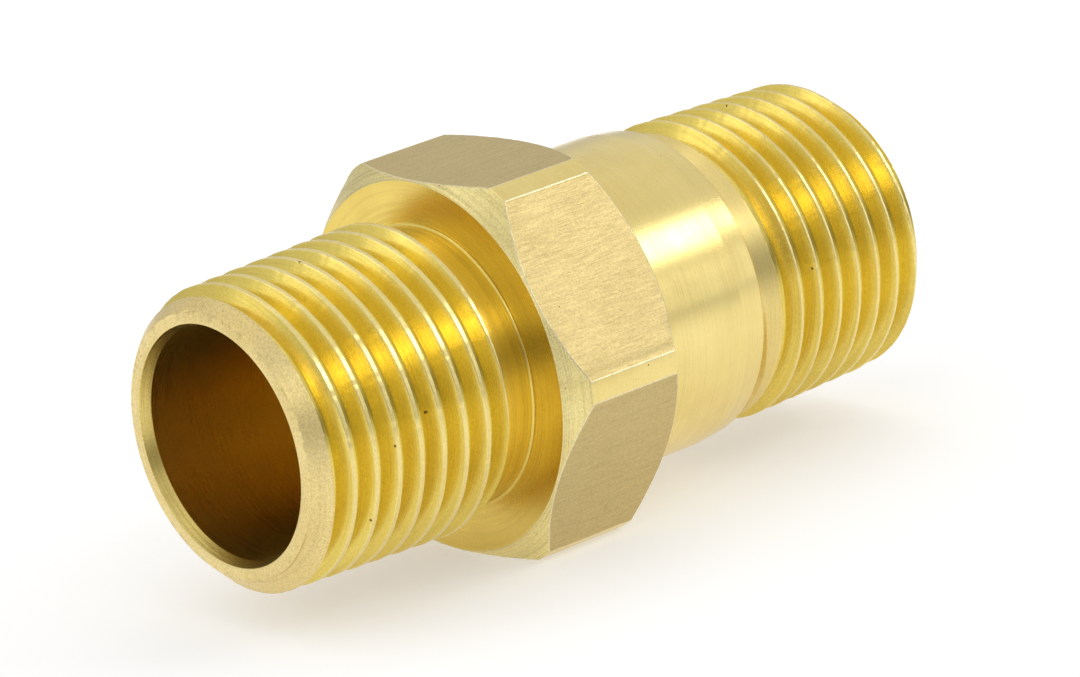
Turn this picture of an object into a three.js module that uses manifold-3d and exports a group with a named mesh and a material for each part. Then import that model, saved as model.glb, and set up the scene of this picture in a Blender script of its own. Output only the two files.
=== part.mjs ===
// A brass hex nipple for 1/2 inch pipe: one bar, drilled through, with an R 1/2 taper thread at each
// end, a relief neck and a wrench hexagon on one side, and a plain collar on the other.
//
// The nipple lies on one flat of its hexagon. Its axis runs along X, the short spigot points to -X,
// and the origin is under the middle of its length, on the surface it lies on. Millimetres, +Z up.
//
// The real nipple is one piece of metal. Each mesh here is a length of that piece, divided where its
// shape changes, so that every length is a simple ring around the bore.

import * as THREE from "three";
import { mergeVertices } from "three/addons/utils/BufferGeometryUtils.js";
import Module from "manifold-3d";

// Distances along the axis, from the end face of the short spigot.
const LENGTH = 53.4;
const NEAR_THREAD_END = 15.3;
const HEXAGON_START = 18.1;
const HEXAGON_END = 28.0;
const COLLAR_END = 35.6;
const SHOULDER_END = 38.0;
const LAND_END = 39.8;

// Two lengths that meet stand this far apart.
const SECTION_GAP = 0.3;

// Radii.
const BORE_RADIUS = 8.0;
const MOUTH_RADIUS = 8.15;
const END_FACE_RADIUS = 8.95;
const NECK_RADIUS = 9.45;
const COLLAR_RADIUS = 10.93;
const SHOULDER_RADIUS = 10.7;
const LAND_RADIUS = 10.0;
const HEXAGON_FACE_RADIUS = 12.57;
const HEXAGON_CORNER_RADIUS = 14.25;

const MOUTH_DEPTH = 0.9;
const SHOULDER_BEVEL = 0.5;
const ACROSS_FLATS = 25.4;
const CORNER_CONE_SLOPE = 0.8;

// R 1/2 taper thread, 14 threads to the inch, 1 in 16 on the diameter, crests cut slightly flat.
const PITCH = 25.4 / 14;
const GAUGE_LENGTH = 8.2;
const GAUGE_RADIUS = 10.4;
const TAPER_PER_SIDE = 1 / 32;
const GROOVE_DEPTH = 1.06;
const CREST_WIDTH = 0.3;
const FLANK_WIDTH = GROOVE_DEPTH * Math.tan(THREE.MathUtils.degToRad(27.5));

// Where one crest of each thread crosses the top of the nipple.
const NEAR_CREST = 9.5;
const FAR_CREST = 46.23;

const SIDES = 36;
const THREAD_CORE_RADIUS = 6;
const OVERRUN = 1;
const MERGE_TOLERANCE = 1e-4;

const wasm = await Module();
wasm.setup();

const brass = (color, roughness) =>
  new THREE.MeshStandardMaterial({ color, roughness, metalness: 1 });

const threadBrass = brass(0xd9b24a, 0.28);
const turnedBrass = brass(0xe3ca7c, 0.25);
const drawnBrass = brass(0xd6bd84, 0.4);

const profilePoint = (along, radius) => new THREE.Vector2(radius, along);

// A closed geometry as a solid: points at one place are shared, and triangles that have shrunk to a
// line are left out.
function solidOf(geometry) {
  geometry.deleteAttribute("normal");
  geometry.deleteAttribute("uv");
  const merged = mergeVertices(geometry, MERGE_TOLERANCE);
  const corners = merged.index.array;
  const triVerts = [];
  for (let i = 0; i < corners.length; i += 3) {
    const [a, b, c] = corners.subarray(i, i + 3);
    if (a !== b && b !== c && c !== a) triVerts.push(a, b, c);
  }
  const vertProperties = merged.attributes.position.array;
  const mesh = { numProp: 3, vertProperties, triVerts: Uint32Array.from(triVerts) };
  return new wasm.Manifold(new wasm.Mesh(mesh));
}

function geometryOf(solid) {
  const mesh = solid.getMesh();
  const geometry = new THREE.BufferGeometry();
  geometry.setAttribute("position", new THREE.BufferAttribute(mesh.vertProperties, 3));
  geometry.setIndex(new THREE.BufferAttribute(mesh.triVerts, 1));
  geometry.computeVertexNormals();
  return geometry;
}

// A ring turned about the axis. The outline is given from its outer surface's start to its end, and
// the bore closes it.
function turnedRing(outline, boreLine) {
  const loop = [...outline, ...boreLine, outline[0]];
  return solidOf(new THREE.LatheGeometry(loop, SIDES));
}

const plainBore = (from, to) => [profilePoint(to, BORE_RADIUS), profilePoint(from, BORE_RADIUS)];

// How far the thread groove lies below the crests, at a distance along the axis from a crest.
function grooveDepth(distance) {
  const fromCrest = Math.abs(distance - PITCH * Math.round(distance / PITCH));
  const downFlank = (fromCrest - CREST_WIDTH / 2) / FLANK_WIDTH;
  return GROOVE_DEPTH * THREE.MathUtils.clamp(downFlank, 0, 1);
}

// The crest radius of each thread grows from its free end towards the hexagon.
const crestRadius = (fromFreeEnd) =>
  GAUGE_RADIUS + TAPER_PER_SIDE * (fromFreeEnd - GAUGE_LENGTH);

// A rod with a right-hand thread. It is turned as plain rings, four to a tooth, and then each ring
// slides along the axis by one pitch in a full turn. A ring stops where it reaches an end.
function threadedRod(from, to, crestAtTop, radiusAt) {
  const flankFoot = CREST_WIDTH / 2 + FLANK_WIDTH;
  const tooth = [-CREST_WIDTH / 2, CREST_WIDTH / 2, flankFoot, PITCH - flankFoot];
  const turnsBefore = Math.ceil((crestAtTop - from) / PITCH) + 1;
  const turnsAfter = Math.ceil((to - crestAtTop) / PITCH);
  const profile = [profilePoint(from, THREAD_CORE_RADIUS)];
  for (let crest = -turnsBefore; crest <= turnsAfter; crest++) {
    for (const step of tooth) {
      profile.push(profilePoint(crestAtTop + crest * PITCH + step, GAUGE_RADIUS));
    }
  }
  profile.push(profilePoint(to, THREAD_CORE_RADIUS), profilePoint(from, THREAD_CORE_RADIUS));

  const geometry = new THREE.LatheGeometry(profile, SIDES);
  const position = geometry.attributes.position;
  for (let i = 0; i < position.count; i++) {
    const ring = profile[i % profile.length];
    if (ring.x === THREAD_CORE_RADIUS) continue;
    const turn = Math.floor(i / profile.length) / SIDES;
    const along = THREE.MathUtils.clamp(ring.y + PITCH * turn, from, to);
    const radius = radiusAt(along) - grooveDepth(along - PITCH * turn - crestAtTop);
    const angle = 2 * Math.PI * turn;
    position.setXYZ(i, radius * Math.sin(angle), along, radius * Math.cos(angle));
  }
  return solidOf(geometry);
}

// The short spigot: chamfered mouth and end, and the thread out to the relief neck.
function nearThreadedSpigot() {
  const outer = crestRadius(NEAR_THREAD_END) + OVERRUN;
  const blank = turnedRing(
    [
      profilePoint(0, MOUTH_RADIUS),
      profilePoint(0, END_FACE_RADIUS),
      profilePoint(outer - END_FACE_RADIUS, outer),
      profilePoint(NEAR_THREAD_END, outer),
    ],
    [profilePoint(NEAR_THREAD_END, BORE_RADIUS), profilePoint(MOUTH_DEPTH, BORE_RADIUS)],
  );
  const rod = threadedRod(-OVERRUN, NEAR_THREAD_END + OVERRUN, NEAR_CREST, crestRadius);
  return blank.intersect(rod);
}

// The groove that the thread runs out into, beside the hexagon.
function nearReliefNeck() {
  const from = NEAR_THREAD_END + SECTION_GAP;
  const to = HEXAGON_START - SECTION_GAP;
  const outline = [profilePoint(from, NECK_RADIUS), profilePoint(to, NECK_RADIUS)];
  return turnedRing(outline, plainBore(from, to));
}

// The hexagon for a wrench. Its corners are turned down to a cylinder, and both faces are coned
// down to a circle just inside the flats.
function wrenchHexagon() {
  const width = HEXAGON_END - HEXAGON_START;
  const coneWidth = CORNER_CONE_SLOPE * (HEXAGON_CORNER_RADIUS - HEXAGON_FACE_RADIUS);
  const envelope = turnedRing(
    [
      profilePoint(HEXAGON_START, HEXAGON_FACE_RADIUS),
      profilePoint(HEXAGON_START + coneWidth, HEXAGON_CORNER_RADIUS),
      profilePoint(HEXAGON_END - coneWidth, HEXAGON_CORNER_RADIUS),
      profilePoint(HEXAGON_END, HEXAGON_FACE_RADIUS),
    ],
    plainBore(HEXAGON_START, HEXAGON_END),
  );
  const pointRadius = ACROSS_FLATS / 2 / Math.cos(Math.PI / 6);
  const bar = new THREE.CylinderGeometry(
    pointRadius, pointRadius, width + 2 * OVERRUN, 6, 1, false, Math.PI / 6,
  );
  bar.translate(0, (HEXAGON_START + HEXAGON_END) / 2, 0);
  return envelope.intersect(solidOf(bar));
}

// The smooth collar behind the hexagon.
function plainCollar() {
  const from = HEXAGON_END + SECTION_GAP;
  const outline = [profilePoint(from, COLLAR_RADIUS), profilePoint(COLLAR_END, COLLAR_RADIUS)];
  return turnedRing(outline, plainBore(from, COLLAR_END));
}

// The collar's last stretch, slightly tapered, with a bevelled edge above the far thread.
function taperedShoulder() {
  const from = COLLAR_END + SECTION_GAP;
  const outline = [
    profilePoint(from, COLLAR_RADIUS),
    profilePoint(SHOULDER_END - SHOULDER_BEVEL, SHOULDER_RADIUS),
    profilePoint(SHOULDER_END, SHOULDER_RADIUS - SHOULDER_BEVEL),
  ];
  return turnedRing(outline, plainBore(from, SHOULDER_END));
}

// The long side's spigot: a low land beside the shoulder, then the thread out to the chamfered end.
function farThreadedSpigot() {
  const from = SHOULDER_END + SECTION_GAP;
  const radiusAt = (along) => crestRadius(LENGTH - along);
  const outer = radiusAt(from) + OVERRUN;
  const blank = turnedRing(
    [
      profilePoint(from, LAND_RADIUS),
      profilePoint(LAND_END, LAND_RADIUS),
      profilePoint(LAND_END + outer - LAND_RADIUS, outer),
      profilePoint(LENGTH - (outer - END_FACE_RADIUS), outer),
      profilePoint(LENGTH, END_FACE_RADIUS),
      profilePoint(LENGTH, MOUTH_RADIUS),
    ],
    [profilePoint(LENGTH - MOUTH_DEPTH, BORE_RADIUS), profilePoint(from, BORE_RADIUS)],
  );
  const rod = threadedRod(from - OVERRUN, LENGTH + OVERRUN, FAR_CREST, radiusAt);
  return blank.intersect(rod);
}

const sections = [
  ["near_threaded_spigot", nearThreadedSpigot(), threadBrass],
  ["near_relief_neck", nearReliefNeck(), turnedBrass],
  ["wrench_hexagon", wrenchHexagon(), drawnBrass],
  ["plain_collar", plainCollar(), turnedBrass],
  ["tapered_shoulder", taperedShoulder(), turnedBrass],
  ["far_threaded_spigot", farThreadedSpigot(), threadBrass],
];

// The sections are turned about Y from the near end face, and the group lays them down along X.
const nipple = new THREE.Group();
for (const [name, solid, material] of sections) {
  const mesh = new THREE.Mesh(geometryOf(solid), material);
  mesh.name = name;
  nipple.add(mesh);
}
nipple.rotation.z = -Math.PI / 2;
nipple.position.set(-LENGTH / 2, 0, ACROSS_FLATS / 2);

export default nipple;
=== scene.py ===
"""A brass hex nipple for half inch pipe, lying on one flat of its hexagon.

Each length of the nipple is a closed ring around the bore, and neighbours meet face to face. A
surface is a grid: columns go round the axis, rows go along it. On the threads the rows follow the
helix. Sizes are in millimetres and distances run along the axis from the near end face, until
build() turns them into metres in the frame's own axes.
"""

import math

import bmesh
import bpy
import numpy as np
from mathutils import Matrix, Vector


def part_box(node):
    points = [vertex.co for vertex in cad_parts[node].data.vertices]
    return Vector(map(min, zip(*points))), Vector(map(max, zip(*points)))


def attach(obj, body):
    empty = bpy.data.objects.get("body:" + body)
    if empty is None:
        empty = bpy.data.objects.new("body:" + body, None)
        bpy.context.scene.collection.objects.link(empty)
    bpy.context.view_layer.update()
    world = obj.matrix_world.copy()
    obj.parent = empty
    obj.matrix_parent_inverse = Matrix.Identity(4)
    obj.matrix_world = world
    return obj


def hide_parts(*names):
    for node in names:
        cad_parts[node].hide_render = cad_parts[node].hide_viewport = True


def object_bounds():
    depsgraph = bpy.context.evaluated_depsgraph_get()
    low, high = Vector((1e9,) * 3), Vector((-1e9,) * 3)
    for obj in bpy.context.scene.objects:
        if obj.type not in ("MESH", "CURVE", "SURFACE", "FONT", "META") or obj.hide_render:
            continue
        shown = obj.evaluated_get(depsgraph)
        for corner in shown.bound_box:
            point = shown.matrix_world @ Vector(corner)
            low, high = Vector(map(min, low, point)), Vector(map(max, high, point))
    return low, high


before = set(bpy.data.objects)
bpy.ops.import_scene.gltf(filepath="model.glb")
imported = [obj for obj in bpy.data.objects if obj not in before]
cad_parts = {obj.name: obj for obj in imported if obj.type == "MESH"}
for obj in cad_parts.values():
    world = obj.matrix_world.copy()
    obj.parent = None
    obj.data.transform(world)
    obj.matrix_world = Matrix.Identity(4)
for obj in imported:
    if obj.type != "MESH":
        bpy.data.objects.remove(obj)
cad_low, cad_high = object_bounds()

MM = 0.001

# Places along the axis, from the frame.
NEAR_END = cad_low.x / MM
LENGTH = (cad_high.x - cad_low.x) / MM
AXIS_HEIGHT = (cad_low.z + cad_high.z) / 2 / MM


def reach(node):
    """Where a CAD node starts and ends along the axis, and its widest radius."""
    low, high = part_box(node)
    start, end = low.x / MM - NEAR_END, high.x / MM - NEAR_END
    return start, end, (high.y - low.y) / 2 / MM


_, THREAD_END, _ = reach("near_threaded_spigot")
_, _, NECK_RADIUS = reach("near_relief_neck")
HEXAGON_START, HEXAGON_END, _ = reach("wrench_hexagon")
_, COLLAR_END, COLLAR_RADIUS = reach("plain_collar")
_, SHOULDER_END, _ = reach("tapered_shoulder")

# Turned shapes. The mouth ends inside in a lip like a burr, a little narrower than the bore. The
# land is the low ring beside the shoulder, and its radius grows along the axis. A row has the
# land's brass where more than LAND_ROW_SHARE of it is land.
BORE_RADIUS = 7.93
LIP_RADIUS = 7.82
LIP_BACK = 0.06
MOUTH_RADIUS = 8.14
MOUTH_DEPTH = 0.78
END_FACE_RADIUS = 8.95
SHOULDER_RADIUS = 10.72
SHOULDER_BEVEL = 0.5
LAND_MIDDLE = 38.9
LAND_END = 39.8
LAND_RADIUS = 10.0
LAND_SLOPE = 0.2
LAND_ROW_SHARE = 0.3
LIP_ROUND = 0.02
MOUTH_ROUND = 0.06
RIM_ROUND = 0.10
SHOULDER_ROUND = 0.12
SHOULDER_EDGE_ROUND = 0.1
THREAD_EDGE = 0.02
NECK_FILLET = 0.22

# The hexagon. Its near face is slightly dished, down to the neck. The edges of its flats are worn
# by a bevel and small dents, and the bevel's paler brass is partly wear and partly a painted
# highlight. Fine lines along the axis run beside the flats' long edges. The first row inside a
# flat is EDGE_GUARD wide, and STRIP_MARGIN tells a turned corner from a flat.
ACROSS_FLATS = 2 * AXIS_HEIGHT
FACE_RADIUS = 12.57
CORNER_RADIUS = (cad_high.y - cad_low.y) / 2 / MM
CONE_SLOPE = 0.8
FACE_DISH = 0.3
EDGE_WEAR = 0.06
EDGE_DENTS = 0.045
EDGE_GUARD = 0.14
LINE_DEPTH = 0.11
LINES_WITHIN = 0.55
STRIP_MARGIN = 0.01
FLATS = 6
FLAT_STEPS = 10
NECK_END = HEXAGON_START + FACE_DISH

# R 1/2 taper thread. Small dents wear its crests and the rim of each end face, and along the
# helix they repeat only after WEAR_TURNS turns. Beside each end the rows are straight, CUT_STEP
# apart as far as CUT_ZONE, and up to CHAMFER_ROWS_END the near ones have the end face's brass.
PITCH = 25.4 / 14
TAPER_PER_SIDE = 1 / 32
GAUGE_LENGTH = 8.2
GAUGE_RADIUS = 10.4
GROOVE_DEPTH = 1.16
CREST_ROUND = 0.04
FLANK_ANGLE = math.radians(27.5)
NEAR_CREST = 9.5
NEAR_CREST_WIDTH = 0.3
FAR_CREST = 46.23
FAR_CREST_WIDTH = 0.18
CREST_WEAR = 0.035
WEAR_TURNS = 40
RIM_WEAR = 0.12
CUT_STEP = 0.04
CUT_ZONE = 1.75
CHAMFER_ROWS_END = 1.2

# The far thread's first groove comes in beside the shoulder: it starts shallow and leans towards
# the shoulder, and it is at full depth and in line with the others after a part of a turn.
FIRST_GROOVE = -5
RUN_OUT_START = math.radians(70)
RUN_OUT_TURN = math.radians(60)
RUN_OUT_DEPTH = 0.62
LEAN_START = math.radians(95)
LEAN_TURN = math.radians(50)
LEAN = 0.42

# Columns round the axis. One that stands this close to a hexagon edge's own column is left out.
COLUMNS = 384
COLUMN_CLEARANCE = math.radians(0.45)

# Edges that turn more than SHARP_ANGLE aren't smoothed, and points this close together are merged.
SHARP_ANGLE = math.radians(32)
MERGE_DISTANCE = 0.001
TINY = 1e-6

# Seeds of the random dents and lines.
CREST_SEED = 5
NEAR_RIM_SEED = 7
FAR_RIM_SEED = 8
FLAT_EDGE_SEED = 9
LINE_SEED = 11


# ---------------------------------------------------------------- outlines

def rounded(corners, steps=4, guard=0.03):
    """A polyline through (along, radius, round) corners, with each corner rounded by an arc.

    A guard point beside each arc keeps the long faces flat in smooth shading."""
    points = []
    last = len(corners) - 1
    for i, (x, r, size) in enumerate(corners):
        here = np.array([x, r])
        if size == 0 or i in (0, last):
            if not points or np.linalg.norm(points[-1] - here) > TINY:
                points.append(here)
            continue
        before = np.array(corners[i - 1][:2]) - here
        after = np.array(corners[i + 1][:2]) - here
        room = np.linalg.norm(before), np.linalg.norm(after)
        before, after = before / room[0], after / room[1]
        half = math.acos(np.clip(before @ after, -1, 1)) / 2
        run = size / math.tan(half)
        centre = here + (before + after) / np.linalg.norm(before + after) * size / math.sin(half)
        start, end = here + before * run, here + after * run
        if room[0] > run + guard:
            points.append(start + before * guard)
        for k in range(steps + 1):
            share = k / steps
            spoke = (start - centre) * (1 - share) + (end - centre) * share
            points.append(centre + spoke / np.linalg.norm(spoke) * size)
        if room[1] > run + guard:
            points.append(end + after * guard)
    return np.array(points)


def tooth(crest_width):
    """One pitch of the thread: distance from the crest's middle, and depth below the crest. The
    flanks would meet in a sharp root, which an arc brings up to the groove's depth."""
    crest_edge = crest_width / 2
    half = PITCH / 2
    sharp_depth = (half - crest_edge) / math.tan(FLANK_ANGLE)
    root_round = (sharp_depth - GROOVE_DEPTH) / (1 / math.sin(FLANK_ANGLE) - 1)
    corners = [
        (crest_edge - PITCH, 0, 0),
        (-half, sharp_depth, root_round),
        (-crest_edge, 0, CREST_ROUND),
        (crest_edge, 0, CREST_ROUND),
        (half, sharp_depth, root_round),
        (PITCH - crest_edge, 0, 0),
    ]
    shape = rounded(corners, steps=6)
    return shape[np.abs(shape[:, 0]) < half + TINY]


# ---------------------------------------------------------------- surfaces

def turned(profile, angles):
    """Rows of (along, radius) that are the same all round."""
    along = np.repeat(profile[:, :1], len(angles), axis=1)
    radius = np.repeat(profile[:, 1:2], len(angles), axis=1)
    return along, radius


def build(name, along, radius, angles, zone_of_row, materials):
    """A closed mesh from a grid of distances and radii. Rows and columns both close on
    themselves."""
    rows, columns = along.shape
    x = (NEAR_END + along) * MM
    y = -radius * np.sin(angles) * MM
    z = (AXIS_HEIGHT + radius * np.cos(angles)) * MM
    points = np.stack([x, y, z], axis=-1).reshape(-1, 3)
    row, column = np.meshgrid(np.arange(rows), np.arange(columns - 1), indexing="ij")
    after = (row + 1) % rows
    corners = np.stack(
        [
            row * columns + column,
            after * columns + column,
            after * columns + column + 1,
            row * columns + column + 1,
        ],
        axis=-1,
    ).reshape(-1, 4)
    mesh = bpy.data.meshes.new(name)
    mesh.from_pydata(points.tolist(), [], corners.tolist())
    zone_of_face = np.repeat(zone_of_row, columns - 1).astype(np.int32)
    mesh.polygons.foreach_set("material_index", zone_of_face)
    work = bmesh.new()
    work.from_mesh(mesh)
    bmesh.ops.remove_doubles(work, verts=work.verts, dist=MERGE_DISTANCE * MM)
    if work.calc_volume(signed=True) < 0:
        bmesh.ops.reverse_faces(work, faces=work.faces)
    for face in work.faces:
        face.smooth = True
    for edge in work.edges:
        edge.smooth = edge.is_manifold and edge.calc_face_angle() < SHARP_ANGLE
    work.to_mesh(mesh)
    work.free()
    for material in materials:
        mesh.materials.append(material)
    piece = bpy.data.objects.new(name, mesh)
    bpy.context.scene.collection.objects.link(piece)
    return piece


ROUND = np.linspace(0, 2 * math.pi, COLUMNS + 1)
HELIX_CLIMB = PITCH * ROUND / (2 * math.pi)


def level(value, angles=ROUND):
    """One row of the same value all round."""
    return np.full(len(angles), value)


def crest_radius(from_free_end):
    return GAUGE_RADIUS + TAPER_PER_SIDE * (from_free_end - GAUGE_LENGTH)


def groove_depth(tooth_shape, distance):
    """Depth of the groove at a distance from a crest."""
    wrapped = distance - PITCH * np.round(distance / PITCH)
    return np.interp(wrapped, tooth_shape[:, 0], tooth_shape[:, 1])


def helix_rows(low, high, crest, tooth_shape):
    """Rows that climb by one pitch in a full turn and stop at low and high."""
    first = math.floor((low - crest) / PITCH) - 1
    last = math.ceil((high - crest) / PITCH) + 1
    starts = [crest + PITCH * k + tooth_shape[:-1, 0] for k in range(first, last + 1)]
    return np.clip(np.concatenate(starts)[:, None] + HELIX_CLIMB, low, high)


def straight_rows(low, high):
    places = np.linspace(low, high, round((high - low) / CUT_STEP) + 1)
    return np.repeat(places[:, None], len(ROUND), axis=1)


def dents(seed, count, deepest):
    """Depths of small dents beside each other on an edge, mostly well below the deepest."""
    depths = deepest * np.random.default_rng(seed).random(count) ** 4
    return (np.roll(depths, 1) + 2 * depths + np.roll(depths, -1)) / 3


def crest_wear(distance, depth):
    """Small dents in the crests, which fade out by a third of the way down the groove. They are
    numbered along the helix, so a full turn closes up."""
    depths = dents(CREST_SEED, WEAR_TURNS * COLUMNS, CREST_WEAR)
    place = np.round(distance / PITCH).astype(int) * COLUMNS + np.arange(COLUMNS + 1)
    return depths[place % len(depths)] * np.clip(1 - 3 * depth / GROOVE_DEPTH, 0, 1)


def worn_rim(end, seed):
    """A spigot's end all round, with small dents in the outer rim of its face."""
    along, radius = turned(end, ROUND)
    to_rim = np.hypot(end[:, 0], end[:, 1] - END_FACE_RADIUS)
    near_rim = np.exp(-((to_rim / RIM_ROUND) ** 2))[:, None]
    depths = dents(seed, COLUMNS, RIM_WEAR)[np.arange(COLUMNS + 1) % COLUMNS]
    return along + near_rim * depths, radius - near_rim * depths


def smooth_step(value):
    share = np.clip(value, 0, 1)
    return share * share * (3 - 2 * share)


# ---------------------------------------------------------------- materials

def node(tree, kind, inputs=(), **settings):
    made = tree.nodes.new(kind)
    for key, value in settings.items():
        setattr(made, key, value)
    for key, value in dict(inputs).items():
        if isinstance(value, bpy.types.NodeSocket):
            tree.links.new(value, made.inputs[key])
        else:
            made.inputs[key].default_value = value
    return made


def maths(tree, operation, a, b=0.0, c=0.0):
    made = node(tree, "ShaderNodeMath", {0: a, 1: b, 2: c}, operation=operation)
    return made.outputs[0]


def spread(tree, value, low, high, from_low=0.3, from_high=0.7):
    """Value from one range brought to another, and held at its ends. A noise mostly lies between
    0.3 and 0.7."""
    before = {"Value": value, "From Min": from_low, "From Max": from_high}
    made = node(tree, "ShaderNodeMapRange", {**before, "To Min": low, "To Max": high})
    return made.outputs["Result"]


def noise(tree, vector, scale, detail=2.0, roughness=0.5):
    inputs = {"Vector": vector, "Scale": scale, "Detail": detail, "Roughness": roughness}
    return node(tree, "ShaderNodeTexNoise", inputs).outputs["Fac"]


def mix(tree, factor, a, b, blend="MIX"):
    made = node(tree, "ShaderNodeMix", data_type="RGBA", blend_type=blend)
    for index, value in ((0, factor), (6, a), (7, b)):
        if isinstance(value, bpy.types.NodeSocket):
            tree.links.new(value, made.inputs[index])
        else:
            made.inputs[index].default_value = value
    return made.outputs[2]


# How many times per metre the tool marks vary along their own run, and how much a step in radius
# counts as a step along the axis, so that faces and cones have marks too.
DRAWN_STRETCH = 900.0
TURNED_STRETCH = 70.0
CONE_SHARE = 0.6

# How many times per metre the patches of tarnish, the grain and the hair lines vary, and how wide
# the broad tool marks are against the fine ones.
CLOUD_SCALE = 240.0
GRAIN_SCALE = 7000.0
HAIR_SCALE = 330.0
HAIR_PATCH_SCALE = 700.0
BROAD_SCALE = 0.16

# A hair line is where a noise is this close to its middle, in the patches where another is high.
HAIR_WIDTH = 0.0035
HAIR_PATCH_EDGE = (0.64, 0.68)

# A pit's flat bottom as a share of its radius, and how much it darkens, dulls and dips.
PIT_BOTTOM = 0.6
PIT_DARKNESS = 0.85
PIT_DULLNESS = 0.25
PIT_DIP = 2.5

# The painted shade of the grooves, a deeper and darker gold than the crests, comes in between
# these depths below the crests, in millimetres.
GROOVE_SHADE_DEPTHS = (0.03, 0.12)

# Where the noises of the fine marks, the broad marks and the grain darken the brass, from most to
# not at all.
STREAK_SHADE = (0.30, 0.55)
BROAD_SHADE = (0.35, 0.60)
GRAIN_SHADE = (0.35, 0.62)

# The roughness varies with the fine marks, as a share, and with the patches of tarnish. Turned
# marks spread a highlight across them, a quarter turn from the tangent.
STREAK_ROUGHNESS = (1.18, 0.84)
CLOUD_ROUGHNESS = 0.03
MARKS_TURN = 0.25

PIT_COLOR = (0.14, 0.085, 0.025)
TARNISH = (0.93, 0.90, 0.84)
SHADOW = 0.62


def out_from_axis(tree, xyz):
    """Height above the axis, and distance from it."""
    height = maths(tree, "SUBTRACT", xyz["Z"], AXIS_HEIGHT * MM)
    height_square = maths(tree, "MULTIPLY", height, height)
    square = maths(tree, "MULTIPLY_ADD", xyz["Y"], xyz["Y"], height_square)
    return height, maths(tree, "SQRT", square)


def line_space(tree, place, spacing, direction):
    """Coordinates whose noise is drawn out into lines: "turned" lines run round the axis, "drawn"
    lines run along it. spacing is the width of a line in millimetres."""
    xyz = node(tree, "ShaderNodeSeparateXYZ", {"Vector": place}).outputs
    height, out = out_from_axis(tree, xyz)
    fine = 1 / (spacing * MM)
    if direction == "drawn":
        scales = {
            "X": maths(tree, "MULTIPLY", xyz["X"], DRAWN_STRETCH),
            "Y": maths(tree, "MULTIPLY", xyz["Y"], fine),
            "Z": maths(tree, "MULTIPLY", height, fine),
        }
        return node(tree, "ShaderNodeCombineXYZ", scales).outputs["Vector"]
    run = maths(tree, "MULTIPLY_ADD", out, CONE_SHARE, xyz["X"])
    scales = {
        "X": maths(tree, "MULTIPLY", run, fine),
        "Y": maths(tree, "MULTIPLY", xyz["Y"], TURNED_STRETCH),
        "Z": maths(tree, "MULTIPLY", height, TURNED_STRETCH),
    }
    return node(tree, "ShaderNodeCombineXYZ", scales).outputs["Vector"]


def groove_shade_mask(tree, place):
    """0 on the thread's crests and 1 from a little way down its flanks: the mask of the grooves'
    painted shade.
    """
    xyz = node(tree, "ShaderNodeSeparateXYZ", {"Vector": place}).outputs
    _, out = out_from_axis(tree, xyz)
    crest_at_middle = crest_radius(LENGTH / 2) * MM
    from_middle = maths(tree, "ABSOLUTE", xyz["X"])
    untapered = maths(tree, "MULTIPLY_ADD", from_middle, TAPER_PER_SIDE, out)
    depth = maths(tree, "SUBTRACT", crest_at_middle, untapered)
    return spread(tree, depth, 0.0, 1.0, GROOVE_SHADE_DEPTHS[0] * MM, GROOVE_SHADE_DEPTHS[1] * MM)


def pits(tree, place, spacing, size, share):
    """1 inside small pits, in a share of the cells that are spacing millimetres wide. size is a
    pit's radius as a share of its cell."""
    inputs = {"Vector": place, "Scale": 1 / (spacing * MM)}
    cells = node(tree, "ShaderNodeTexVoronoi", inputs).outputs
    inside = spread(tree, cells["Distance"], 1.0, 0.0, size * PIT_BOTTOM, size)
    pick = node(tree, "ShaderNodeSeparateColor", {"Color": cells["Color"]}).outputs["Red"]
    return maths(tree, "MULTIPLY", inside, maths(tree, "LESS_THAN", pick, share))


def scratches(tree, place):
    """1 on thin curved hair lines, in a few patches."""
    winding = noise(tree, place, HAIR_SCALE, detail=1.0, roughness=0.4)
    from_line = maths(tree, "ABSOLUTE", maths(tree, "SUBTRACT", winding, 0.5))
    hair = spread(tree, from_line, 1.0, 0.0, 0.0, HAIR_WIDTH)
    patches = noise(tree, place, HAIR_PATCH_SCALE, detail=0.0)
    patch = spread(tree, patches, 0.0, 1.0, *HAIR_PATCH_EDGE)
    return maths(tree, "MULTIPLY", hair, patch)


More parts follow.
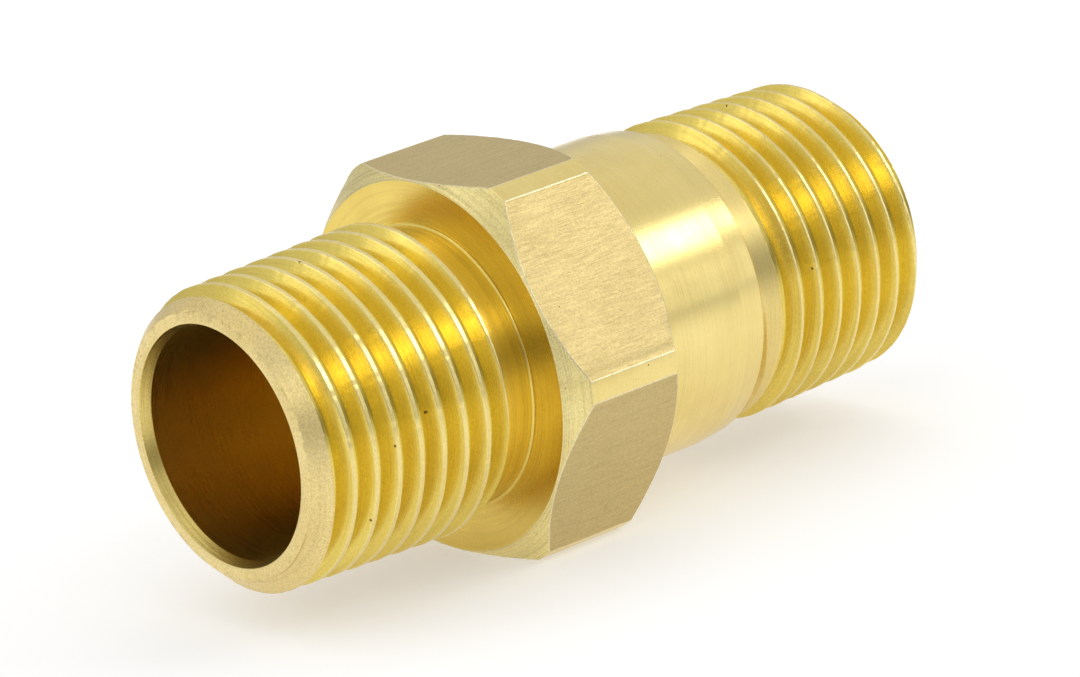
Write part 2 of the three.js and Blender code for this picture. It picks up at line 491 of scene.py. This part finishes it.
def brass(
    name, color, roughness, spacing, depth, direction="turned",
    anisotropy=0.0, dark=0.25, broad_marks=0.4, speckle=0.0, grain_depth=0.4,
    pit_spacing=1.6, pit_size=0.055, pit_share=0.15,
    hair_lines=0.0, clouding=1.0, groove_shade_color=None,
):
    """Bare brass with tool marks, of a spacing and depth in millimetres, and small pits and
    scratches.

    dark and speckle are how much the marks and the grain darken it. broad_marks, grain_depth and
    hair_lines are how strong those are, and clouding is how much wide patches differ."""
    made = bpy.data.materials.new(name)
    made.use_nodes = True
    tree = made.node_tree
    shader = tree.nodes["Principled BSDF"]
    place = node(tree, "ShaderNodeTexCoord").outputs["Object"]
    lines = line_space(tree, place, spacing, direction)
    streaks = noise(tree, lines, scale=1.0, detail=5.0, roughness=0.62)
    broad = noise(tree, lines, BROAD_SCALE)
    cloud = noise(tree, place, CLOUD_SCALE, detail=3.0, roughness=0.55)
    grain = noise(tree, place, GRAIN_SCALE, detail=3.0, roughness=0.65)
    pit = pits(tree, place, pit_spacing, pit_size, pit_share)
    hair = maths(tree, "MULTIPLY", scratches(tree, place), hair_lines)

    clean = (*color, 1)
    # Painted shade: the grooves get a deeper, darker gold than the crests, standing in for the
    # shade and interreflection between the flanks.
    if groove_shade_color:
        clean = mix(tree, groove_shade_mask(tree, place), clean, (*groove_shade_color, 1))
    tarnished = mix(tree, 1.0, clean, (*TARNISH, 1), "MULTIPLY")
    shade = mix(tree, spread(tree, cloud, 0.0, clouding), clean, tarnished)
    shadowed = mix(tree, 1.0, shade, (SHADOW, SHADOW, SHADOW, 1), "MULTIPLY")
    in_streaks = spread(tree, streaks, dark, 0.0, *STREAK_SHADE)
    in_broad = spread(tree, broad, broad_marks * dark, 0.0, *BROAD_SHADE)
    in_grain = spread(tree, grain, speckle, 0.0, *GRAIN_SHADE)
    shading = maths(tree, "ADD", maths(tree, "ADD", in_streaks, in_broad), in_grain)
    shade = mix(tree, shading, shade, shadowed)
    blemish = maths(tree, "MAXIMUM", hair, maths(tree, "MULTIPLY", pit, PIT_DARKNESS))
    shade = mix(tree, blemish, shade, (*PIT_COLOR, 1))
    tree.links.new(shade, shader.inputs["Base Color"])
    shader.inputs["Metallic"].default_value = 1.0

    uneven = spread(tree, cloud, -CLOUD_ROUGHNESS * clouding, CLOUD_ROUGHNESS * clouding)
    dull = maths(tree, "MULTIPLY_ADD", pit, PIT_DULLNESS, uneven)
    marked = spread(tree, streaks, *(share * roughness for share in STREAK_ROUGHNESS))
    tree.links.new(maths(tree, "ADD", marked, dull), shader.inputs["Roughness"])
    if anisotropy:
        shader.inputs["Anisotropic"].default_value = anisotropy
        shader.inputs["Anisotropic Rotation"].default_value = MARKS_TURN
        tangent = node(tree, "ShaderNodeTangent", direction_type="RADIAL", axis="X")
        tree.links.new(tangent.outputs["Tangent"], shader.inputs["Tangent"])

    relief = maths(tree, "MULTIPLY_ADD", grain, grain_depth, streaks)
    relief = maths(tree, "MULTIPLY_ADD", broad, 2 * broad_marks, relief)
    relief = maths(tree, "MULTIPLY_ADD", maths(tree, "MAXIMUM", pit, hair), -PIT_DIP, relief)
    inputs = {"Strength": 1.0, "Distance": depth * MM, "Height": relief}
    bump = node(tree, "ShaderNodeBump", inputs)
    tree.links.new(bump.outputs["Normal"], shader.inputs["Normal"])
    return made


# The thread's grooves carry a painted shade of deeper, darker gold.
THREAD_BRASS = brass(
    "thread_brass", (0.96, 0.80, 0.32), roughness=0.25, spacing=0.10, depth=0.004,
    anisotropy=0.3, speckle=0.3, pit_size=0.08, pit_share=0.2, groove_shade_color=(0.905, 0.72, 0.17),
)
TURNED_BRASS = brass(
    "turned_brass", (0.92, 0.75, 0.30), roughness=0.23, spacing=0.11, depth=0.003,
    anisotropy=0.5, dark=0.18, broad_marks=0.2, speckle=0.12, grain_depth=0.9,
    pit_spacing=1.3, hair_lines=0.12,
)
# Painted shade: the neck's deeper, darker gold stands in for the shade and interreflection in its
# recess between the thread and the hexagon.
NECK_SHADE_BRASS = brass(
    "neck_painted_shade_brass", (0.95, 0.74, 0.18), roughness=0.24, spacing=0.10, depth=0.006,
    anisotropy=0.3, dark=0.5, speckle=0.2,
)
# Painted shade: the hexagon's near face is a deeper, darker gold, standing in for the shade and
# the reflection of the neck and thread in front of it.
FACE_SHADE_BRASS = brass(
    "face_painted_shade_brass", (0.87, 0.665, 0.17), roughness=0.28, spacing=0.11, depth=0.002,
    anisotropy=0.2, dark=0.2, speckle=0.12,
)
CONE_BRASS = brass(
    "cone_brass", (0.98, 0.84, 0.38), roughness=0.30, spacing=0.15, depth=0.016,
    dark=0.6, speckle=0.45, grain_depth=1.2, pit_spacing=0.6, pit_size=0.09, pit_share=0.3,
)
FACED_BRASS = brass(
    "faced_brass", (0.93, 0.75, 0.335), roughness=0.33, spacing=0.12, depth=0.009,
    broad_marks=0.15, speckle=0.6, grain_depth=1.6,
    pit_spacing=0.6, pit_size=0.10, pit_share=0.25,
)
MOUTH_BRASS = brass(
    "mouth_brass", (0.88, 0.71, 0.24), roughness=0.28, spacing=0.20, depth=0.012,
    dark=0.6, speckle=0.4,
)
LAND_BRASS = brass(
    "land_brass", (0.90, 0.72, 0.28), roughness=0.34, spacing=0.14, depth=0.004,
    anisotropy=0.4, speckle=0.2,
)
DRAWN_BRASS = brass(
    "drawn_brass", (0.68, 0.54, 0.245), roughness=0.46, spacing=0.045, depth=0.003,
    direction="drawn", broad_marks=0.5, speckle=0.45, grain_depth=1.0, clouding=0.35,
    pit_spacing=0.9, pit_size=0.075, pit_share=0.25, hair_lines=0.25,
)
# The bevels on the flats' edges are paler: partly real wear, partly a painted highlight along the
# edges.
EDGE_WEAR_GLINT_BRASS = brass(
    "edge_wear_glint_brass", (0.95, 0.84, 0.52), roughness=0.35, spacing=0.10, depth=0.004, speckle=0.5
)
BORE_BRASS = brass(
    "bore_brass", (0.85, 0.63, 0.155), roughness=0.30, spacing=0.05, depth=0.0003,
    dark=0.0, broad_marks=0.0, speckle=0.3, grain_depth=3.0,
)


# ---------------------------------------------------------------- the lengths

# Places in a spigot's list of materials, and in the hexagon's.
THREAD, FACED, MOUTH, BORE, LAND = range(5)
FLAT, TURNED, HEXAGON_BORE, CONE, EDGE, FACE = range(6)


def spigot_end():
    """From the bore out through the mouth to the rim of the end face, by distance from the end."""
    return rounded(
        [
            (MOUTH_DEPTH + 2 * LIP_BACK, BORE_RADIUS, 0),
            (MOUTH_DEPTH + LIP_BACK, BORE_RADIUS, 0),
            (MOUTH_DEPTH, LIP_RADIUS, LIP_ROUND),
            (0, MOUTH_RADIUS, MOUTH_ROUND),
            (0, END_FACE_RADIUS, RIM_ROUND),
            (2 * CUT_STEP, END_FACE_RADIUS + 2 * CUT_STEP, 0),
        ],
        guard=0.01,
    )


def end_zones(end):
    """Bore, mouth, or end face, for each row of a spigot's end."""
    along, radius = end.T
    outside = np.where(radius < MOUTH_RADIUS, MOUTH, FACED)
    return np.where(along > MOUTH_DEPTH, BORE, outside)


def zones(*pairs):
    """The place in the list of materials for each row, from (number of rows, place) pairs."""
    return np.concatenate([np.full(count, index) for count, index in pairs])


def near_threaded_spigot():
    shape = tooth(NEAR_CREST_WIDTH)
    rows = np.concatenate(
        [
            straight_rows(2 * CUT_STEP, CUT_ZONE),
            helix_rows(CUT_ZONE, THREAD_END - THREAD_EDGE, NEAR_CREST, shape),
        ]
    )
    distance = rows - HELIX_CLIMB - NEAR_CREST
    depth = groove_depth(shape, distance)
    radius = crest_radius(rows) - depth - crest_wear(distance, depth)
    chamfer = END_FACE_RADIUS + rows
    radius = np.minimum(radius, chamfer)
    end = spigot_end()
    end_along, end_radius = worn_rim(end, NEAR_RIM_SEED)
    close = [level(NECK_RADIUS), level(BORE_RADIUS)]
    along = np.vstack([end_along, rows, *[level(THREAD_END)] * 3])
    radii = np.vstack([end_radius, radius, radius[-1] - THREAD_EDGE, *close])
    chamfered = int((rows[:, 0] < CHAMFER_ROWS_END).sum())
    threaded = len(rows) - chamfered + 1
    outside = zones((chamfered, FACED), (threaded, THREAD), (2, BORE))
    zone = np.concatenate([end_zones(end), outside])
    materials = [THREAD_BRASS, FACED_BRASS, MOUTH_BRASS, BORE_BRASS]
    return build("near_threaded_spigot_body", along, radii, ROUND, zone, materials)


def turned_length(name, profile, material):
    """A length with a plain turned surface. The last row of its profile is the bore."""
    along, radius = turned(profile, ROUND)
    zone = zones((len(profile) - 1, 0), (1, 1))
    return build(name, along, radius, ROUND, zone, [material, BORE_BRASS])


def near_relief_neck():
    profile = rounded(
        [
            (THREAD_END, BORE_RADIUS, 0),
            (THREAD_END, NECK_RADIUS, 0),
            (NECK_END, NECK_RADIUS, NECK_FILLET),
            (NECK_END, NECK_RADIUS + NECK_FILLET, 0),
            (NECK_END, BORE_RADIUS, 0),
        ],
        steps=6,
    )
    return turned_length("near_relief_neck_body", profile, NECK_SHADE_BRASS)


def hexagon_angles():
    """Columns of the hexagon: evenly spaced, and one on each edge of a corner strip."""
    strip = math.acos(ACROSS_FLATS / 2 / CORNER_RADIUS)
    edges = [2 * math.pi * k / FLATS + side * strip for k in range(FLATS) for side in (-1, 1)]
    edges = np.mod(edges, 2 * math.pi)
    nearest = np.abs(ROUND[:, None] - edges[None, :]).min(axis=1)
    return np.sort(np.concatenate([ROUND[nearest > COLUMN_CLEARANCE], edges]))


def drawn_lines(to_flat):
    """Depths of the fine lines along the axis near a flat's long edges, for each column by its
    angle from the middle of its flat."""
    half_width = math.sqrt(CORNER_RADIUS**2 - (ACROSS_FLATS / 2) ** 2)
    from_edge = half_width - ACROSS_FLATS / 2 * np.abs(np.tan(to_flat))
    depths = LINE_DEPTH * np.random.default_rng(LINE_SEED).random(len(to_flat)) ** 2
    depths[-1] = depths[0]
    return np.where(from_edge > STRIP_MARGIN, depths * np.exp(-from_edge / LINES_WITHIN), 0)


def wear_flat_edges(mesh):
    """Puts small dents in the edges that a flat makes with anything else, and gives those edges
    a bevel weight."""
    work = bmesh.new()
    work.from_mesh(mesh)
    weight = work.edges.layers.float.new("bevel_weight_edge")
    worn = set()
    for edge in work.edges:
        beside = {face.material_index for face in edge.link_faces}
        if FLAT in beside and len(beside) > 1:
            edge[weight] = 1.0
            worn.update(vert.index for vert in edge.verts)
    work.verts.ensure_lookup_table()
    for index, depth in zip(sorted(worn), dents(FLAT_EDGE_SEED, len(worn), EDGE_DENTS)):
        spot = work.verts[index].co
        out = Vector((0, spot.y, spot.z - AXIS_HEIGHT * MM))
        spot -= out.normalized() * depth * MM
    work.to_mesh(mesh)
    work.free()


def hexagon_rows(angles):
    """Distance, radius and material for each row of the hexagon, from the bore out over its near
    face and along its flats to the bore again."""
    to_flat = np.mod(angles + math.pi / FLATS, 2 * math.pi / FLATS) - math.pi / FLATS
    side = np.minimum(ACROSS_FLATS / 2 / np.cos(to_flat), CORNER_RADIUS)
    cone = CONE_SLOPE * (side - FACE_RADIUS)
    side = side - drawn_lines(to_flat)
    near_edge, far_edge = HEXAGON_START + cone, HEXAGON_END - cone
    first, last = near_edge + EDGE_GUARD, far_edge - EDGE_GUARD
    rows = [
        (level(NECK_END, angles), level(BORE_RADIUS, angles), FACE),
        (level(NECK_END, angles), level(NECK_RADIUS + NECK_FILLET, angles), FACE),
        (level(HEXAGON_START, angles), level(FACE_RADIUS, angles), CONE),
        (near_edge, side, FLAT),
    ]
    for k in range(FLAT_STEPS + 1):
        rows.append((first + (last - first) * k / FLAT_STEPS, side, FLAT))
    rows += [
        (far_edge, side, CONE),
        (level(HEXAGON_END, angles), level(FACE_RADIUS, angles), TURNED),
        (level(HEXAGON_END, angles), level(BORE_RADIUS, angles), HEXAGON_BORE),
    ]
    along, radius, zone = zip(*rows)
    return np.array(along), np.array(radius), np.array(zone)


def wrench_hexagon():
    angles = hexagon_angles()
    along, radius, zone = hexagon_rows(angles)
    materials = [DRAWN_BRASS, TURNED_BRASS, BORE_BRASS, CONE_BRASS, EDGE_WEAR_GLINT_BRASS, FACE_SHADE_BRASS]
    piece = build("wrench_hexagon_body", along, radius, angles, zone, materials)
    for polygon in piece.data.polygons:
        spoke = math.hypot(polygon.center.y, polygon.center.z - AXIS_HEIGHT * MM) / MM
        if polygon.material_index == FLAT and spoke > CORNER_RADIUS - STRIP_MARGIN:
            polygon.material_index = TURNED
    wear_flat_edges(piece.data)
    bevel = piece.modifiers.new("edges", "BEVEL")
    bevel.width = EDGE_WEAR * MM
    bevel.segments = 2
    # The bevel takes the paler edge brass: wear and a painted highlight.
    bevel.material = EDGE
    bevel.limit_method = "WEIGHT"
    bevel.harden_normals = True
    return piece


def plain_collar():
    profile = rounded(
        [
            (HEXAGON_END, BORE_RADIUS, 0),
            (HEXAGON_END, COLLAR_RADIUS, 0),
            (COLLAR_END, COLLAR_RADIUS, 0),
            (COLLAR_END, BORE_RADIUS, 0),
        ]
    )
    return turned_length("plain_collar_body", profile, TURNED_BRASS)


def tapered_shoulder():
    profile = rounded(
        [
            (COLLAR_END, BORE_RADIUS, 0),
            (COLLAR_END, COLLAR_RADIUS, 0),
            (SHOULDER_END - SHOULDER_BEVEL, SHOULDER_RADIUS, SHOULDER_ROUND),
            (SHOULDER_END, SHOULDER_RADIUS - SHOULDER_BEVEL, SHOULDER_EDGE_ROUND),
            (SHOULDER_END, BORE_RADIUS, 0),
        ],
        guard=0.01,
    )
    return turned_length("tapered_shoulder_body", profile, TURNED_BRASS)


def run_in(distance, depth, shape):
    """The far thread's depth, with its first groove made shallow and leaning where it starts."""
    started = ROUND + 2 * math.pi * (np.floor(distance / PITCH) - FIRST_GROOVE)
    deepened = smooth_step((started - RUN_OUT_START) / RUN_OUT_TURN)
    share = RUN_OUT_DEPTH + (1 - RUN_OUT_DEPTH) * deepened
    lean = LEAN * (1 - smooth_step((started - LEAN_START) / LEAN_TURN))
    next_crest = PITCH * np.ceil(distance / PITCH)
    leaning = groove_depth(shape, np.minimum(distance + lean, next_crest))
    return np.where(lean > 0, leaning, depth) * share


def far_threaded_spigot():
    shape = tooth(FAR_CREST_WIDTH)
    rows = np.concatenate(
        [
            straight_rows(SHOULDER_END, LAND_END),
            helix_rows(LAND_END, LENGTH - CUT_ZONE, FAR_CREST, shape),
            straight_rows(LENGTH - CUT_ZONE, LENGTH - 2 * CUT_STEP),
        ]
    )
    distance = rows - HELIX_CLIMB - FAR_CREST
    depth = run_in(distance, groove_depth(shape, distance), shape)
    radius = crest_radius(LENGTH - rows) - depth - crest_wear(distance, depth)
    land = LAND_RADIUS + LAND_SLOPE * (rows - LAND_MIDDLE) + np.maximum(rows - LAND_END, 0)
    chamfer = END_FACE_RADIUS + LENGTH - rows
    on_land = ((land < radius).mean(axis=1) > LAND_ROW_SHARE) & (rows[:, 0] < LAND_END)
    radius = np.minimum(radius, np.minimum(land, chamfer))
    end = spigot_end()
    end_along, end_radius = worn_rim(end[::-1], FAR_RIM_SEED)
    along = np.vstack([level(SHOULDER_END), rows, LENGTH - end_along])
    radii = np.vstack([level(BORE_RADIUS), radius, end_radius])
    outside = np.where(on_land, LAND, THREAD)
    zone = np.concatenate([[THREAD], outside, end_zones(end)[::-1]])
    materials = [THREAD_BRASS, FACED_BRASS, MOUTH_BRASS, BORE_BRASS, LAND_BRASS]
    return build("far_threaded_spigot_body", along, radii, ROUND, zone, materials)


LENGTHS = [
    ("near_threaded_spigot", near_threaded_spigot, "thread_brass"),
    ("near_relief_neck", near_relief_neck, "turned_brass"),
    ("wrench_hexagon", wrench_hexagon, "drawn_brass"),
    ("plain_collar", plain_collar, "turned_brass"),
    ("tapered_shoulder", tapered_shoulder, "turned_brass"),
    ("far_threaded_spigot", far_threaded_spigot, "thread_brass"),
]
for cad_node, make, slot in LENGTHS:
    piece = make()
    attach(piece, "root")
    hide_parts(cad_node)


# ---------------------------------------------------------------- studio

# Sizes in the studio are in metres.
FLOOR_SIZE = 6.0

# Brightness of the tent by the height of a direction, from 0 at the horizon to 1 overhead.
SKY_LEVELS = ((0.0, 0.58), (0.16, 0.62), (0.36, 0.82), (0.72, 0.78), (0.95, 0.95))

# The gap in the tent's wall is on the side that the near end and the collar both face. GAP_SIDES
# are cosines of the turn from its middle, and GAP_TOP heights, between which it fades.
GAP_TOWARD = (-0.174, -0.985, 0.0)
GAP_DARKNESS = 0.55
GAP_SIDES = (0.68, 0.76)
GAP_TOP = (0.30, 0.42)

# The paper's brightness and its glow of painted light, and how far towards the gap a painted shade
# dims it down to a share of them.
PAPER = 0.72
PAPER_GLOW = 0.40
PAPER_SHADE_RANGE = (0.04, 0.14)
PAPER_SHADE_SHARE = 0.55
PAPER_ROUGHNESS = 0.9
PAPER_SPECULAR = 0.1


def vector_maths(tree, operation, a, b=(0, 0, 0)):
    return node(tree, "ShaderNodeVectorMath", {0: a, 1: b}, operation=operation).outputs


def floor():
    """White paper with a glow of painted light, and a painted shade that makes it dimmer towards
    the gap in the tent. Its glow keeps the nipple's shadow pale.
    """
    mesh = bpy.data.meshes.new("floor")
    half = FLOOR_SIZE / 2
    corners = [(-half, -half, 0), (half, -half, 0), (half, half, 0), (-half, half, 0)]
    mesh.from_pydata(corners, [], [(0, 1, 2, 3)])
    made = bpy.data.objects.new("floor", mesh)
    bpy.context.scene.collection.objects.link(made)
    paper = bpy.data.materials.new("floor_paper_painted_shade")
    paper.use_nodes = True
    tree = paper.node_tree
    shader = tree.nodes["Principled BSDF"]
    place = node(tree, "ShaderNodeTexCoord").outputs["Object"]
    # Painted shade: the paper's colour and glow dim towards the gap in the tent.
    towards_gap = vector_maths(tree, "DOT_PRODUCT", place, GAP_TOWARD)["Value"]
    share = spread(tree, towards_gap, 1.0, PAPER_SHADE_SHARE, *PAPER_SHADE_RANGE)
    tree.links.new(maths(tree, "MULTIPLY", share, PAPER), shader.inputs["Base Color"])
    tree.links.new(maths(tree, "MULTIPLY", share, PAPER_GLOW), shader.inputs["Emission Strength"])
    shader.inputs["Emission Color"].default_value = (1, 1, 1, 1)
    shader.inputs["Roughness"].default_value = PAPER_ROUGHNESS
    shader.inputs["Specular IOR Level"].default_value = PAPER_SPECULAR
    made.data.materials.append(paper)


def sky():
    """A light tent: bright overhead, a little darker towards the horizon, with a dark gap in its
    wall on one side."""
    world = bpy.data.worlds.new("studio")
    world.use_nodes = True
    tree = world.node_tree
    direction = node(tree, "ShaderNodeTexCoord").outputs["Generated"]
    up = node(tree, "ShaderNodeSeparateXYZ", {"Vector": direction}).outputs["Z"]
    ramp = node(tree, "ShaderNodeValToRGB", {"Fac": up})
    elements = ramp.color_ramp.elements
    while len(elements) < len(SKY_LEVELS):
        elements.new(0.5)
    for element, (height, brightness) in zip(elements, SKY_LEVELS):
        element.position = height
        element.color = (brightness, brightness, brightness, 1)
    sideways = vector_maths(tree, "MULTIPLY", direction, (1, 1, 0))["Vector"]
    heading = vector_maths(tree, "NORMALIZE", sideways)["Vector"]
    towards_gap = vector_maths(tree, "DOT_PRODUCT", heading, GAP_TOWARD)["Value"]
    across = spread(tree, towards_gap, 0.0, GAP_DARKNESS, *GAP_SIDES)
    below_top = spread(tree, up, 1.0, 0.0, *GAP_TOP)
    strength = maths(tree, "SUBTRACT", 1.0, maths(tree, "MULTIPLY", across, below_top))
    background = tree.nodes["Background"]
    tree.links.new(ramp.outputs["Color"], background.inputs["Color"])
    tree.links.new(strength, background.inputs["Strength"])
    bpy.context.scene.world = world


MIDDLE = Vector((0.0, 0.0, AXIS_HEIGHT * MM))
SOFTBOX_DISTANCE = 0.7

# Name, where it stands, width, height and brightness.
SOFTBOXES = (
    ("key", (0.60, -0.55, 0.56), 0.38, 0.17, 3.3),
    ("fill", (0.66, -0.73, 0.16), 0.34, 0.24, 0.55),
    ("left", (-0.80, -0.44, 0.41), 0.16, 0.12, 2.2),
    ("back", (-0.72, 0.45, 0.53), 0.26, 0.24, 0.9),
    ("top", (0.29, 0.24, 0.93), 0.25, 0.25, 0.5),
)


def softbox(name, toward, width, height, brightness):
    """An area light that faces the nipple's middle, with the same brightness whatever its size."""
    lamp = bpy.data.lights.new(name, "AREA")
    lamp.shape = "RECTANGLE"
    lamp.size = width
    lamp.size_y = height
    lamp.energy = brightness * width * height * math.pi
    made = bpy.data.objects.new(name, lamp)
    direction = Vector(toward).normalized()
    made.location = MIDDLE + direction * SOFTBOX_DISTANCE
    made.rotation_mode = "QUATERNION"
    made.rotation_quaternion = (-direction).to_track_quat("-Z", "Y")
    bpy.context.scene.collection.objects.link(made)


# The camera's sensor and focal length in millimetres, where it stands as angles round the point
# that it looks at, its roll, that point, its distance from it, and how near and far it sees.
SENSOR_WIDTH = 36.0
FOCAL_LENGTH = 223.07
CAMERA_AZIMUTH = math.radians(-39.114)
CAMERA_ELEVATION = math.radians(16.809)
CAMERA_ROLL = math.radians(-7.209)
CAMERA_AIM = Vector((-0.00954, -0.01237, 0.01678))
CAMERA_DISTANCE = 0.4253
CAMERA_CLIP = (0.01, 20.0)


def camera():
    """A long lens that looks at the near end from the front and a little above."""
    lens = bpy.data.cameras.new("camera")
    lens.sensor_width = SENSOR_WIDTH
    lens.lens = FOCAL_LENGTH
    made = bpy.data.objects.new("camera", lens)
    azimuth, elevation, roll = CAMERA_AZIMUTH, CAMERA_ELEVATION, CAMERA_ROLL
    back = Vector(
        (
            math.sin(azimuth) * math.cos(elevation),
            -math.cos(azimuth) * math.cos(elevation),
            math.sin(elevation),
        )
    )
    right = Vector((math.cos(azimuth), math.sin(azimuth), 0.0))
    up = back.cross(right)
    rolled_right = math.cos(roll) * right + math.sin(roll) * up
    rolled_up = -math.sin(roll) * right + math.cos(roll) * up
    turn = Matrix((rolled_right, rolled_up, back)).transposed()
    made.rotation_mode = "QUATERNION"
    made.rotation_quaternion = turn.to_quaternion()
    made.location = CAMERA_AIM + back * CAMERA_DISTANCE
    lens.clip_start, lens.clip_end = CAMERA_CLIP
    bpy.context.scene.collection.objects.link(made)
    bpy.context.scene.camera = made


floor()
sky()
for box in SOFTBOXES:
    softbox(*box)
bpy.context.scene.view_settings.view_transform = "Standard"
camera()
